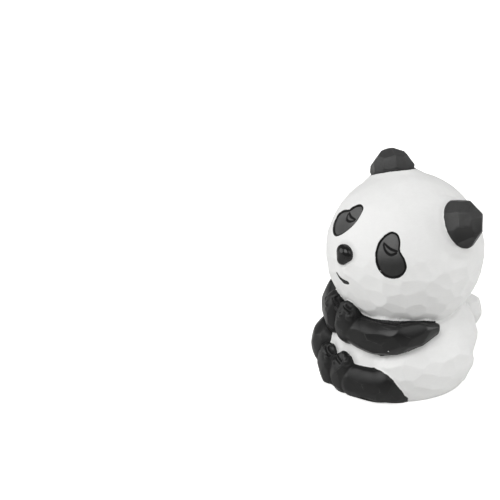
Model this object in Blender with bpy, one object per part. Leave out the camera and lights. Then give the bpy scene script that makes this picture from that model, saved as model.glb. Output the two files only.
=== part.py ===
"""A seated panda figurine, cast in resin in one piece after a chisel-cut carving.

Frame: metres, +Z up, the panda's face and feet towards -Y, its left side towards +X.
The origin is the middle of the round underside that it stands on.

Every mass of the figure is cut from a block by flat chisel cuts, as a carver works, so its
surface is a patchwork of small flat facets. The masses are then joined into one solid, and
the eye patches, the closed eyes and the mouth are cut into it.
"""

import random
from math import ceil, cos, pi, radians, sin, sqrt

import bmesh
import bpy
from mathutils import Matrix, Vector

MM = 0.001

# Driving dimensions
HEAD_RADIUS = 20.9 * MM
HEAD_HEIGHT = 34.5 * MM
HEAD_SET_BACK = 2.4 * MM
MUZZLE_REACH = 1.1 * MM
BODY_RADIUS = 19.8 * MM
BODY_SET_BACK = 2.5 * MM
BODY_TOP = 23.5 * MM
BODY_MIDDLE = 10.0 * MM
BASE_RADIUS = 20.5 * MM
BASE_WIDTH = 41.0 * MM
BASE_SET_BACK = -0.4 * MM
HAUNCH_WIDTH = 44.1 * MM
HAUNCH_LENGTH = 28.9 * MM
HAUNCH_HEIGHT = 17.0 * MM
HAUNCH_SET_BACK = 0.7 * MM
LEFT_EAR_REACH = 7.6 * MM
RIGHT_EAR_REACH = 5.9 * MM
EAR_WIDTH = 12.6 * MM
EAR_THICKNESS = 10.0 * MM
NOSE_WIDTH = 5.4 * MM
NOSE_REACH = 1.6 * MM
TAIL_RADIUS = 5.0 * MM
TAIL_HEIGHT = 12.6 * MM
TAIL_REACH = 26.0 * MM
HAND_HEIGHT = 18.8 * MM
HAND_LENGTH = 12.1 * MM
HAND_WIDTH = 8.0 * MM
FOOT_HEIGHT = 11.9 * MM
FOOT_WIDTH = 8.5 * MM
HAND_REACH = 16.6 * MM
FOOT_REACH = 19.3 * MM
PATCH_DEPTH = 0.35 * MM
LINE_RADIUS = 0.38 * MM

# Width of a facet on the large masses, on the limbs, and on fingers and nose
FACET = 3.7 * MM
LIMB_FACET = 2.5 * MM
SMALL_FACET = 1.4 * MM

# How unevenly the hand cuts: depth of a cut, and how far it strays, as a share of a facet
CUT_DEPTH = 0.06 * MM
STRAY = 0.15
FEWEST_CUTS = 34
SHARED_REACH = 0.02 * MM
SHORTEST_EDGE = 0.03 * MM

# The head's pose on the body, in degrees
HEAD_TURN = 14.0
HEAD_LOOK_UP = 13.6
HEAD_TILT = 13.5

# Directions on the head: degrees towards the panda's left, and degrees above its level
LEFT_EAR_AT = (88.7, 50.4)
RIGHT_EAR_AT = (-85.6, 50.6)
LEFT_EYE_AT = (30.6, 15.7)
RIGHT_EYE_AT = (-22.1, 16.2)
NOSE_AT = (-0.9, -1.4)
MUZZLE_AT = (-0.5, -6.9)
MOUTH_AT = (1.6, -20.7)

# Half the width of the mouth and of a closed eye, and how far each one sags, in degrees
MOUTH_SPAN = (8.0, 2.2)
LID_SPAN = (6.0, 2.8)
LID_OFFSET = (-3.0, 2.4)

# The left eye patch round its middle, in degrees across and up; the right one is its mirror
PATCH = (
    (-9.0, 15.5),
    (-2.5, 16.4),
    (2.5, 12.2),
    (5.0, 6.6),
    (11.0, 1.9),
    (14.6, -4.2),
    (12.6, -10.8),
    (6.5, -15.0),
    (-1.0, -14.5),
    (-7.5, -9.4),
    (-12.0, -1.0),
    (-12.6, 8.4),
)
RIGHT_PATCH_WIDTH = 0.98

# Arm from shoulder to wrist, and shin from ankle to knee: degrees round from the front, then
# distance from the upright axis, height and radius as shares of the body's radius
ARM = (
    (100.1, 0.869, 0.974, 0.050),
    (79.5, 0.887, 0.946, 0.159),
    (61.1, 0.903, 0.896, 0.215),
    (39.7, 0.833, 0.848, 0.228),
    (17.0, 0.809, 0.878, 0.212),
)
LEFT_SHIN = (
    (26.6, 0.931, 0.203, 0.250),
    (45.3, 0.954, 0.212, 0.252),
    (55.0, 0.949, 0.236, 0.260),
    (65.2, 0.891, 0.128, 0.225),
)
RIGHT_SHIN = (
    (18.7, 0.851, 0.319, 0.279),
    (28.8, 0.835, 0.376, 0.367),
    (48.1, 0.824, 0.325, 0.321),
    (63.0, 0.860, 0.140, 0.200),
)
LIMB_DEPTH = 0.80
ARM_ROOT = 0.16

# Degrees round from the front towards the panda's left
LEFT_HAND_AZIMUTH = 12.7
RIGHT_HAND_AZIMUTH = -11.9
LEFT_FOOT_AZIMUTH = 17.0
RIGHT_FOOT_AZIMUTH = -2.0

# Fingertips on a left hand: towards the panda's left, outwards and up from its middle, and how
# thick, all as shares of the hand's width
FINGERTIPS = (
    (-0.26, 0.20, 0.29, 0.156),
    (0.09, 0.25, 0.31, 0.181),
    (0.34, 0.13, 0.31, 0.144),
)

GOLDEN_ANGLE = pi * (3.0 - sqrt(5.0))


class Ball:
    """One ellipsoid of a mass: its centre, its three radii, and how it is turned."""

    def __init__(self, centre, radii, turn=None):
        self.centre = Vector(centre)
        self.radii = Vector(radii) if hasattr(radii, "__len__") else Vector((radii,) * 3)
        self.turn = turn if turn is not None else Matrix.Identity(3)

    def support(self, normal):
        """How far the ellipsoid reaches along a direction."""
        local = self.turn.transposed() @ normal
        stretched = Vector(r * n for r, n in zip(self.radii, local))
        return normal.dot(self.centre) + stretched.length

    def area(self):
        """Its surface, by the usual close formula for an ellipsoid."""
        a, b, c = (r ** 1.6 for r in self.radii)
        return 4.0 * pi * ((a * b + a * c + b * c) / 3.0) ** (1.0 / 1.6)

    def normal_at(self, spot):
        """The outward direction where a point of the unit sphere lands on the ellipsoid."""
        squeezed = Vector(s / r for s, r in zip(spot, self.radii))
        return (self.turn @ squeezed).normalized()

    def moved(self, matrix):
        """The same ellipsoid after a rigid move."""
        return Ball(matrix @ self.centre, self.radii, matrix.to_3x3() @ self.turn)


def painted(name, colour, roughness):
    """A satin paint."""
    paint = bpy.data.materials.new(name)
    paint.use_nodes = True
    shader = paint.node_tree.nodes["Principled BSDF"]
    shader.inputs["Base Color"].default_value = (*colour, 1.0)
    shader.inputs["Roughness"].default_value = roughness
    shader.inputs["Metallic"].default_value = 0.0
    return paint


def spots_on_sphere(count, dice):
    """Points spread evenly over the unit sphere, each nudged at random as a hand would."""
    spread = STRAY * sqrt(4.0 * pi / count)
    for i in range(count):
        height = 1.0 - (2.0 * i + 1.0) / count
        ring = sqrt(1.0 - height * height)
        angle = i * GOLDEN_ANGLE
        nudge = Vector(dice.gauss(0.0, spread) for _ in range(3))
        yield (Vector((ring * cos(angle), ring * sin(angle), height)) + nudge).normalized()


def cube_around(balls):
    """A block that holds all the balls with room to spare."""
    reach = max(ball.centre.length + max(ball.radii) for ball in balls)
    block = bmesh.new()
    bmesh.ops.create_cube(block, size=2.4 * reach)
    return block


def chisel(block, normal, distance):
    """Takes away all that lies beyond one plane, and closes the cut with a flat facet."""
    parts = block.verts[:] + block.edges[:] + block.faces[:]
    done = bmesh.ops.bisect_plane(
        block, geom=parts, plane_co=normal * distance, plane_no=normal, clear_outer=True
    )
    rim = [e for e in done["geom_cut"] if isinstance(e, bmesh.types.BMEdge) and len(e.link_faces) == 1]
    if len(rim) > 2:
        bmesh.ops.contextual_create(block, geom=rim)


def as_object(name, mesh_builder, paint, collection):
    mesh = bpy.data.meshes.new(name)
    mesh_builder.to_mesh(mesh)
    mesh_builder.free()
    mesh.materials.append(paint)
    made = bpy.data.objects.new(name, mesh)
    collection.objects.link(made)
    return made


def carve(name, balls, facet, seed, paint, collection):
    """A mass of the figure: a block cut down to the hull of the balls, one facet at a time."""
    middle = sum((ball.centre for ball in balls), Vector()) / len(balls)
    centred = [Ball(ball.centre - middle, ball.radii, ball.turn) for ball in balls]
    dice = random.Random(seed)
    block = cube_around(centred)
    for ball in centred:
        cuts = max(FEWEST_CUTS, ceil(ball.area() / (facet * facet)))
        for spot in spots_on_sphere(cuts, dice):
            normal = ball.normal_at(spot)
            depth = dice.random() * CUT_DEPTH
            reach = max(other.support(normal) for other in centred)
            if ball.support(normal) > reach - SHARED_REACH:
                chisel(block, normal, reach - depth)
    bmesh.ops.translate(block, vec=middle, verts=block.verts)
    bmesh.ops.dissolve_degenerate(block, dist=SHORTEST_EDGE, edges=block.edges)
    bmesh.ops.recalc_face_normals(block, faces=block.faces)
    return as_object(name, block, paint, collection)


def around(azimuth, reach, height):
    """A point at an angle from the front towards the panda's left, out from the upright axis."""
    a = radians(azimuth)
    return Vector((reach * sin(a), -reach * cos(a), height))


def on_head(side, up, radius):
    """A point of the head's own frame, by its two angles and its distance from the middle."""
    s, u = radians(side), radians(up)
    return Vector((sin(s) * cos(u), -cos(s) * cos(u), sin(u))) * radius


def head_pose():
    """Where the head's own frame sits on the body."""
    turn = Matrix.Rotation(radians(HEAD_TURN), 4, "Z")
    look_up = Matrix.Rotation(radians(-HEAD_LOOK_UP), 4, "X")
    tilt = Matrix.Rotation(radians(HEAD_TILT), 4, "Y")
    return Matrix.Translation((0.0, HEAD_SET_BACK, HEAD_HEIGHT)) @ turn @ look_up @ tilt


def head_balls(inset=0.0):
    """Skull and muzzle, in the head's own frame."""
    muzzle_radius = 0.62 * HEAD_RADIUS
    muzzle_middle = on_head(*MUZZLE_AT, HEAD_RADIUS + MUZZLE_REACH - muzzle_radius)
    return [
        Ball((0.0, 0.0, 0.0), HEAD_RADIUS - inset),
        Ball(muzzle_middle, muzzle_radius - inset),
    ]


def ear_balls(side):
    """A thick round lobe that stands out of the side of the head."""
    reach = LEFT_EAR_REACH if side > 0 else RIGHT_EAR_REACH
    outward = on_head(*(LEFT_EAR_AT if side > 0 else RIGHT_EAR_AT), 1.0)
    tilt = Vector((0.0, 0.0, 1.0)).rotation_difference(outward).to_matrix()
    radii = (EAR_WIDTH / 2.0, EAR_THICKNESS / 2.0, reach)
    return [Ball(outward * HEAD_RADIUS, radii, tilt)]


def nose_balls():
    """A rounded triangle, broad above and narrow below."""
    lobe = 0.32 * NOSE_WIDTH
    tip = 0.27 * NOSE_WIDTH
    front = HEAD_RADIUS + MUZZLE_REACH + NOSE_REACH
    bridge = on_head(*NOSE_AT, front - lobe) + Vector((0.0, 0.0, 0.14 * NOSE_WIDTH))
    across = Vector((NOSE_WIDTH / 2.0 - lobe, 0.0, 0.0))
    philtrum = on_head(*NOSE_AT, front - 1.1 * tip) - Vector((0.0, 0.0, 0.22 * NOSE_WIDTH))
    return [Ball(bridge - across, lobe), Ball(bridge + across, lobe), Ball(philtrum, tip)]


def body_balls():
    """The round body on its broad seat."""
    belly = (BODY_RADIUS, BODY_RADIUS, BODY_TOP - BODY_MIDDLE)
    seat = (0.5 * BASE_WIDTH, BASE_RADIUS, 0.55 * BODY_RADIUS)
    return [
        Ball((0.0, BODY_SET_BACK, BODY_MIDDLE), belly),
        Ball((0.0, BASE_SET_BACK, 0.16 * BODY_RADIUS), seat),
    ]


def neck_balls():
    """The core between body and head, out of sight behind the arms."""
    width = 0.76 * BODY_RADIUS
    middle = (0.0, 0.05 * BODY_RADIUS, BODY_TOP - 0.12 * BODY_RADIUS)
    return [Ball(middle, (width, width, 0.34 * BODY_RADIUS))]


def chest_balls():
    """The chest behind the two hands, which leaves no gap between them and the chin."""
    azimuth = 0.5 * (LEFT_HAND_AZIMUTH + RIGHT_HAND_AZIMUTH)
    radii = (0.62 * HAND_WIDTH, 0.42 * HAND_WIDTH, 0.45 * HAND_LENGTH)
    return [paw_ball(azimuth, HAND_REACH - 0.5 * HAND_WIDTH, HAND_HEIGHT + 0.05 * HAND_LENGTH, radii)]


def haunch_balls(side):
    """The thigh, folded against the flank."""
    radii = (0.41 * BODY_RADIUS, 0.5 * HAUNCH_LENGTH, 0.50 * BODY_RADIUS)
    across = side * (0.5 * HAUNCH_WIDTH - radii[0])
    return [Ball((across, HAUNCH_SET_BACK, HAUNCH_HEIGHT - radii[2]), radii)]


def limb_ball(side, station):
    azimuth, reach, height, radius = station
    middle = around(side * azimuth, reach * BODY_RADIUS, height * BODY_RADIUS)
    depth = LIMB_DEPTH * radius * BODY_RADIUS
    return Ball(middle, (depth, depth, radius * BODY_RADIUS))


def arm_root_ball(side, station):
    """The inner half of an arm, which runs in to the neck and leaves no gap behind the arm."""
    azimuth, reach, height, radius = station
    return limb_ball(side, (azimuth, reach - ARM_ROOT, height, 0.8 * radius))


def paw_ball(azimuth, reach, height, radii):
    """A paw at an angle from the front, with its back to the panda."""
    return Ball(around(azimuth, reach, height), radii, Matrix.Rotation(radians(azimuth), 3, "Z"))


def foot_balls(side):
    """An upright foot, sole to the front."""
    azimuth = LEFT_FOOT_AZIMUTH if side > 0 else RIGHT_FOOT_AZIMUTH
    radii = (0.5 * FOOT_WIDTH, 0.34 * FOOT_WIDTH, 0.5 * FOOT_HEIGHT)
    return [paw_ball(azimuth, FOOT_REACH, 0.43 * FOOT_HEIGHT, radii)]


def hand_balls(side):
    """A paw held upright before the chest."""
    azimuth = LEFT_HAND_AZIMUTH if side > 0 else RIGHT_HAND_AZIMUTH
    radii = (0.5 * HAND_WIDTH, 0.39 * HAND_WIDTH, 0.5 * HAND_LENGTH)
    return [paw_ball(azimuth, HAND_REACH, HAND_HEIGHT, radii)]


def finger_balls(side, n):
    """One of the three fingers that curl over the top of a paw."""
    paw = hand_balls(side)[0]
    across, out, up, thick = FINGERTIPS[n]
    tip = Vector((side * across, -out, up)) * HAND_WIDTH
    knuckle = Vector((0.8 * side * across, 0.11 - out, up + 0.21)) * HAND_WIDTH
    return [
        Ball(paw.centre + paw.turn @ tip, thick * HAND_WIDTH),
        Ball(paw.centre + paw.turn @ knuckle, 0.9 * thick * HAND_WIDTH),
    ]


def tail_balls():
    return [Ball((0.0, TAIL_REACH - TAIL_RADIUS, TAIL_HEIGHT), TAIL_RADIUS)]


def patch_prism(name, eye_at, mirror, width, pose, paint, collection):
    """A plug with the outline of an eye patch, straight through the skin of the head."""
    block = bmesh.new()
    rings = []
    for radius in (0.88 * HEAD_RADIUS, 1.12 * HEAD_RADIUS):
        rings.append([
            block.verts.new(pose @ on_head(eye_at[0] + mirror * width * across, eye_at[1] + up, radius))
            for across, up in PATCH
        ])
    inner, outer = rings
    count = len(PATCH)
    for i in range(count):
        j = (i + 1) % count
        block.faces.new((inner[i], inner[j], outer[j], outer[i]))
    block.faces.new(inner)
    block.faces.new(outer)
    bmesh.ops.triangulate(block, faces=[f for f in block.faces if len(f.verts) > 4])
    bmesh.ops.recalc_face_normals(block, faces=block.faces)
    return as_object(name, block, paint, collection)


def smile_tool(name, middle_at, span, surface, pose, paint, collection):
    """A bent round bar that leaves a groove shaped like a smile."""
    half, sag = span
    steps, sides = 8, 6
    block = bmesh.new()
    rings = []
    for i in range(steps + 1):
        along = 2.0 * i / steps - 1.0
        at = (middle_at[0] + half * along, middle_at[1] + sag * (along * along - 0.5))
        outward = on_head(*at, 1.0)
        upward = (Vector((0.0, 0.0, 1.0)) - outward * outward.z).normalized()
        radius = LINE_RADIUS * (1.0 - 0.45 * along * along)
        middle = outward * surface(outward)
        ring = []
        for k in range(sides):
            turn = 2.0 * pi * k / sides
            ring.append(block.verts.new(pose @ (middle + radius * (outward * cos(turn) + upward * sin(turn)))))
        rings.append(ring)
    for ring, after in zip(rings, rings[1:]):
        for k in range(sides):
            block.faces.new((ring[k], ring[(k + 1) % sides], after[(k + 1) % sides], after[k]))
    block.faces.new(rings[0])
    block.faces.new(rings[-1])
    bmesh.ops.recalc_face_normals(block, faces=block.faces)
    return as_object(name, block, paint, collection)


def boolean(owner, name, operation, other):
    step = owner.modifiers.new(name, "BOOLEAN")
    step.operation = operation
    step.solver = "EXACT"
    step.material_mode = "TRANSFER"
    if isinstance(other, bpy.types.Collection):
        step.operand_type = "COLLECTION"
        step.collection = other
    else:
        step.object = other
    return step


def build_masses(pose, white, black, collection):
    """All that is joined onto the body."""
    carve("neck", neck_balls(), FACET, 9, white, collection)
    carve("chest", chest_balls(), LIMB_FACET, 11, black, collection)
    carve("head", [b.moved(pose) for b in head_balls()], FACET, 7, white, collection)
    carve("nose", [b.moved(pose) for b in nose_balls()], SMALL_FACET, 3, black, collection)
    carve("tail", tail_balls(), LIMB_FACET, 5, white, collection)
    for side, word, seed in ((1, "left", 20), (-1, "right", 40)):
        ear = [b.moved(pose) for b in ear_balls(side)]
        carve(f"ear_{word}", ear, LIMB_FACET, seed, black, collection)
        carve(f"haunch_{word}", haunch_balls(side), FACET, seed + 1, white, collection)
        carve(f"foot_{word}", foot_balls(side), LIMB_FACET, seed + 2, black, collection)
        carve(f"hand_{word}", hand_balls(side), LIMB_FACET, seed + 3, black, collection)
        for n in range(3):
            carve(f"finger_{word}_{n}", finger_balls(side, n), SMALL_FACET, seed + 7 + n, black, collection)
        shin = LEFT_SHIN if side > 0 else RIGHT_SHIN
        for limb, stations, first in (("arm", ARM, 10), ("shin", shin, 15)):
            for n in range(len(stations) - 1):
                pair = [limb_ball(side, station) for station in stations[n:n + 2]]
                if limb == "arm":
                    pair += [arm_root_ball(side, station) for station in stations[n:n + 2]]
                carve(f"{limb}_{word}_{n}", pair, LIMB_FACET, seed + first + n, black, collection)


def ground_block(paint, collection):
    """All that lies below the level the figure stands on."""
    block = bmesh.new()
    bmesh.ops.create_cube(block, size=4.0 * BODY_RADIUS)
    bmesh.ops.translate(block, vec=(0.0, 0.0, -2.0 * BODY_RADIUS), verts=block.verts)
    return as_object("ground", block, paint, collection)


def build():
    for old in list(bpy.data.objects):
        bpy.data.objects.remove(old)
    panda = bpy.data.collections.new("panda_figurine")
    masses = bpy.data.collections.new("masses")
    cutters = bpy.data.collections.new("cutters")
    for collection in (panda, masses, cutters):
        bpy.context.scene.collection.children.link(collection)
    white = painted("white_paint", (0.82, 0.82, 0.81), 0.55)
    black = painted("black_paint", (0.025, 0.025, 0.026), 0.42)

    pose = head_pose()
    body = carve("panda", body_balls(), FACET, 11, white, panda)
    build_masses(pose, white, black, masses)
    boolean(body, "join", "UNION", masses)
    boolean(body, "level", "DIFFERENCE", ground_block(white, cutters))

    under_skin = [b.moved(pose) for b in head_balls(inset=PATCH_DEPTH)]
    floor_of_patch = carve("patch_floor", under_skin, FACET, 7, black, cutters)
    eyes = (("left", LEFT_EYE_AT, 1.0, 1.0), ("right", RIGHT_EYE_AT, -1.0, RIGHT_PATCH_WIDTH))
    for word, eye_at, mirror, width in eyes:
        plug = patch_prism(f"patch_{word}", eye_at, mirror, width, pose, black, cutters)
        boolean(plug, "skin_only", "DIFFERENCE", floor_of_patch)
        boolean(body, f"patch_{word}", "DIFFERENCE", plug)
        lid_at = (eye_at[0] + mirror * LID_OFFSET[0], eye_at[1] + LID_OFFSET[1])
        lid = smile_tool(
            f"lid_{word}", lid_at, LID_SPAN, lambda _: HEAD_RADIUS - PATCH_DEPTH, pose, black, cutters
        )
        boolean(body, f"lid_{word}", "DIFFERENCE", lid)

    def muzzle_surface(outward):
        skull, muzzle = head_balls()
        ahead = outward.dot(muzzle.centre)
        aside = (muzzle.centre - outward * ahead).length
        return max(skull.radii.x, ahead + sqrt(muzzle.radii.x ** 2 - aside ** 2))

    mouth = smile_tool("mouth", MOUTH_AT, MOUTH_SPAN, muzzle_surface, pose, black, cutters)
    boolean(body, "mouth", "DIFFERENCE", mouth)

    for helper in list(masses.objects) + list(cutters.objects):
        helper.hide_render = True
        helper.display_type = "WIRE"
    return body


build()
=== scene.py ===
"""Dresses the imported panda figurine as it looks: cast in resin from a chisel-cut carving,
with matt white paint, and satin black paint on ears, eye patches, nose, mouth, arms and legs.

Frame: metres, +Z up, the panda's face and feet towards -Y, its left side towards +X, and the
origin in the middle of its underside. The carving is worked out in millimetres.

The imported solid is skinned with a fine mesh, which settles onto the same masses with their
creases softened. Each chisel cut then leaves its own shallow scoop, and the lines of eyes,
mouth, paws and toes are engraved. The same masses say where the paint goes.
"""

from math import cos, pi, radians, sin

import bmesh
import bpy
import numpy as np
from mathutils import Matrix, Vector


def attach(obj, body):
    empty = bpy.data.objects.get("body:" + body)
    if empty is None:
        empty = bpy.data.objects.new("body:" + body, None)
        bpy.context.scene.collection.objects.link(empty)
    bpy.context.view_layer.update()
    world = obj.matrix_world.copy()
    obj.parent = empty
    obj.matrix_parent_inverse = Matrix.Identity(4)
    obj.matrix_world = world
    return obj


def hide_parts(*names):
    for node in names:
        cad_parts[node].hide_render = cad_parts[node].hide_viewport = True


MM = 0.001

# Sizes of the masses, in millimetres
HEAD_RADIUS = 20.9
HEAD_HEIGHT = 34.5
HEAD_SET_BACK = 2.4
MUZZLE_REACH = 1.1
BODY_RADIUS = 19.8
BODY_SET_BACK = 2.5
BODY_TOP = 23.5
BODY_MIDDLE = 10.0
BASE_RADIUS = 20.5
BASE_WIDTH = 41.0
BASE_SET_BACK = -0.4
HAUNCH_WIDTH = 44.1
HAUNCH_LENGTH = 28.9
HAUNCH_HEIGHT = 17.0
HAUNCH_SET_BACK = 0.7
LEFT_EAR_REACH = 7.6
RIGHT_EAR_REACH = 5.9
EAR_WIDTH = 12.6
EAR_THICKNESS = 10.0
NOSE_WIDTH = 5.4
NOSE_REACH = 1.6
TAIL_RADIUS = 5.0
TAIL_HEIGHT = 12.6
TAIL_REACH = 26.0
HAND_HEIGHT = 18.8
HAND_LENGTH = 12.1
HAND_WIDTH = 8.0
FOOT_HEIGHT = 11.9
FOOT_WIDTH = 8.5
HAND_REACH = 16.6
FOOT_REACH = 19.3

# Degrees round from the front towards the panda's left
LEFT_HAND_AZIMUTH = 12.7
RIGHT_HAND_AZIMUTH = -11.9
LEFT_FOOT_AZIMUTH = 17.0
RIGHT_FOOT_AZIMUTH = -2.0

# The head's pose on the body, in degrees
HEAD_TURN = 14.0
HEAD_LOOK_UP = 13.6
HEAD_TILT = 13.5

# Directions on the head: degrees towards the panda's left, and degrees above its level
LEFT_EAR_AT = (88.7, 50.4)
RIGHT_EAR_AT = (-85.6, 50.6)
LEFT_EYE_AT = (30.6, 15.7)
RIGHT_EYE_AT = (-22.1, 16.2)
NOSE_AT = (-0.9, -1.4)
MUZZLE_AT = (-0.5, -6.9)
MOUTH_AT = (1.6, -20.7)

# The left eye patch round its middle, in degrees across and up; the right one is its mirror
PATCH = (
    (-9.0, 15.5),
    (-2.5, 16.4),
    (2.5, 12.2),
    (5.0, 6.6),
    (11.0, 1.9),
    (14.6, -4.2),
    (12.6, -10.8),
    (6.5, -15.0),
    (-1.0, -14.5),
    (-7.5, -9.4),
    (-12.0, -1.0),
    (-12.6, 8.4),
)
RIGHT_PATCH_WIDTH = 0.98
PATCH_DEPTH = 0.35
PATCH_RIM = 0.22

# The mouth, and the two lines of a closed left eye, round their middles: degrees across and up,
# and half the width of the stroke in millimetres
MOUTH = ((-5.9, 1.8, 0.36), (-4.2, 0.1, 0.50), (-1.7, -0.8, 0.60), (1.8, -0.7, 0.70), (5.4, 0.7, 0.64))
UPPER_LID = ((-8.9, 6.0, 0.26), (-4.7, 5.0, 0.33), (-1.6, 4.6, 0.36), (2.6, 5.0, 0.33))
LOWER_LID = (
    (-8.8, 4.9, 0.24), (-6.1, 2.3, 0.31), (-3.0, 0.9, 0.36), (0.3, 1.0, 0.35), (2.9, 3.6, 0.29),
)

# Arm from shoulder to wrist, and shin from ankle to knee: degrees round from the front, then
# distance from the upright axis, height and radius as shares of the body's radius
ARM = (
    (97.5, 0.872, 0.958, 0.080),
    (79.5, 0.887, 0.940, 0.168),
    (61.1, 0.903, 0.896, 0.215),
    (39.7, 0.833, 0.848, 0.228),
    (17.0, 0.809, 0.878, 0.212),
)
LEFT_SHIN = (
    (26.6, 0.931, 0.203, 0.250),
    (45.3, 0.954, 0.212, 0.252),
    (55.0, 0.949, 0.236, 0.260),
    (65.2, 0.891, 0.128, 0.225),
)
RIGHT_SHIN = (
    (18.7, 0.851, 0.319, 0.279),
    (28.8, 0.835, 0.376, 0.367),
    (48.1, 0.824, 0.325, 0.321),
    (63.0, 0.860, 0.140, 0.200),
    (79.0, 0.885, 0.130, 0.090),
)
# How deep a limb is for its height, and how far in and how thick its inner half is, which fills
# the gap between arm and chest
LIMB_DEPTH = 0.80
ARM_ROOT = 0.16
ARM_ROOT_THICKNESS = 0.8

# How the chisel went over each kind of mass: width of a cut in millimetres, how plain the cuts
# show, from 0 to 1, and how softly they meet, in millimetres
CHISEL = {
    "head": (4.0, 0.9, 0.03),
    "body": (4.2, 0.9, 0.03),
    "neck": (4.2, 0.9, 0.03),
    "haunch": (4.2, 0.9, 0.03),
    "tail": (3.0, 0.6, 0.03),
    "ear_root": (3.4, 0.2, 0.10),
    "ear": (3.4, 1.0, 0.02),
    "nose": (3.0, 0.0, 0.10),
    "arm": (3.7, 0.5, 0.05),
    "shin": (3.7, 0.4, 0.08),
    "hand": (2.7, 0.45, 0.05),
    "foot": (2.9, 0.45, 0.05),
    "digit": (1.7, 0.3, 0.05),
    "chest": (3.4, 0.0, 0.10),
    "arm_root": (3.4, 0.0, 0.10),
}
# How deep the scoop is in a cut of the usual width, in millimetres
SCOOP = 0.07
USUAL_CUT = 3.4
# How far a scoop reaches, as a share of the width of its cut
SCOOP_REACH = 0.62
# How much closer together the cuts lie upwards than across
ROW_STRETCH = 1.4
# The most that the cuts move the skin, and how far from a crease they start and are full
MOST_CUT = 0.4
CUTS_START, CUTS_FULL = 0.1, 0.9
# How much the cuts are rubbed away on the forehead and the back, and from what height to what
# height, in millimetres over the head's middle and over the ground
FOREHEAD_RUBBED, FOREHEAD_FROM, FOREHEAD_TO = 0.70, 0.0, 11.0
BACK_RUBBED, BACK_FROM, BACK_TO = 0.5, 9.0, 17.0
# How many of the nearest cuts are weighed at a point, how many points are worked out at a time,
# how many are tried for the places of the cuts, and how few are left uncut
NEIGHBOURS = 10
BATCH = 20_000
MOST_TRIED = 9000
FEWEST_CUT = 50

# The cuts on each ear's lobe: degrees round it from the face, and degrees out from its root
LEFT_EAR_CUTS = (
    (5, 50), (-7, 21), (-45, 23), (-49, 49), (-36, 76), (66, 70), (42, 32), (74, 19),
    (115, 30), (150, 55), (165, 22), (-90, 25), (-130, 55), (-150, 20),
)
RIGHT_EAR_CUTS = (
    (0, 24), (36, 27), (72, 21), (97, 16), (31, 56), (83, 56), (-34, 12),
    (135, 30), (160, 60), (175, 22), (-45, 45), (-85, 25), (-100, 60), (-130, 22),
)

# How far up the left and the right ear the black paint starts, and how far short of the crease
# it stops on the limbs and the nose, in millimetres
EAR_PAINT_STARTS = (0.35, -0.30)
LIMB_PAINT_GAP = 0.10
NOSE_PAINT_GAP = 0.05

# The black of the right leg ends in half an oval: where it starts to round off and how long it
# is, in degrees, and the height of its middle, its half height and its mean radius
RIGHT_LEG_ROUNDS_FROM = 38.0
RIGHT_LEG_END_LENGTH = 24.0
RIGHT_LEG_END_HEIGHT = 8.3
RIGHT_LEG_END_HALF = 7.2
RIGHT_LEG_END_RADIUS = 6.0

# The black hollow between the feet: half its width in degrees, its top and its inner end as
# shares of the foot's height and reach, and the degrees that make a millimetre there
HOLLOW_HALF_WIDTH = 9.0
HOLLOW_TOP = 0.45
HOLLOW_END = 0.85
DEGREES_TO_A_MILLIMETRE = 3.0

# The skin: size of its first and last cells, how near a line it is cut finer still, and the
# most triangles that it may keep
FIRST_CELL = 0.34
CELL = 0.21
FINE_REACH = 0.55
MOST_TRIANGLES = 190_000
SETTLE_ROUNDS = 3
# How softly the skin turns under into the flat underside, in millimetres
UNDERSIDE_EDGE = 0.25

# How far a distance is worked out before it counts as far away
FAR = 8.0


def turn_about(axis, degrees):
    """The axes of something turned by some degrees about X, Y or Z, as the columns of a matrix."""
    a = radians(degrees)
    first, second = ((1, 2), (2, 0), (0, 1))["XYZ".index(axis)]
    axes = np.eye(3)
    axes[first, first] = axes[second, second] = cos(a)
    axes[first, second] = -sin(a)
    axes[second, first] = sin(a)
    return axes


def lean_to(direction):
    """The axes of something whose Z has leaned over to a direction, the shortest way."""
    x, y, z = direction
    axes = np.array(((-x * x, -x * y, 0.0), (-x * y, -y * y, 0.0), (0.0, 0.0, 0.0))) / (1.0 + z)
    return axes + ((1.0, 0.0, x), (0.0, 1.0, y), (-x, -y, z))


def around(azimuth, reach, height):
    """A point at an angle from the front towards the panda's left, out from the upright axis."""
    a = radians(azimuth)
    return np.array((reach * sin(a), -reach * cos(a), height))


def on_head(side, up):
    """A direction in the head's own frame."""
    s, u = radians(side), radians(up)
    return np.array((sin(s) * cos(u), -cos(s) * cos(u), sin(u)))


HEAD_AXES = turn_about("Z", HEAD_TURN) @ turn_about("X", -HEAD_LOOK_UP) @ turn_about("Y", HEAD_TILT)
HEAD_MIDDLE = np.array((0.0, HEAD_SET_BACK, HEAD_HEIGHT))


def smooth_lower(a, b, width):
    """The lower of two values, rounded where they cross."""
    near = np.clip(width - np.abs(a - b), 0.0, None)
    return np.minimum(a, b) - near * near / (4.0 * width)


def smooth_upper(a, b, width):
    return -smooth_lower(-a, -b, width)


def eased(value, start, end):
    """Goes smoothly from 0 at start to 1 at end."""
    share = np.clip((value - start) / (end - start), 0.0, 1.0)
    return share * share * (3.0 - 2.0 * share)


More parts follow.
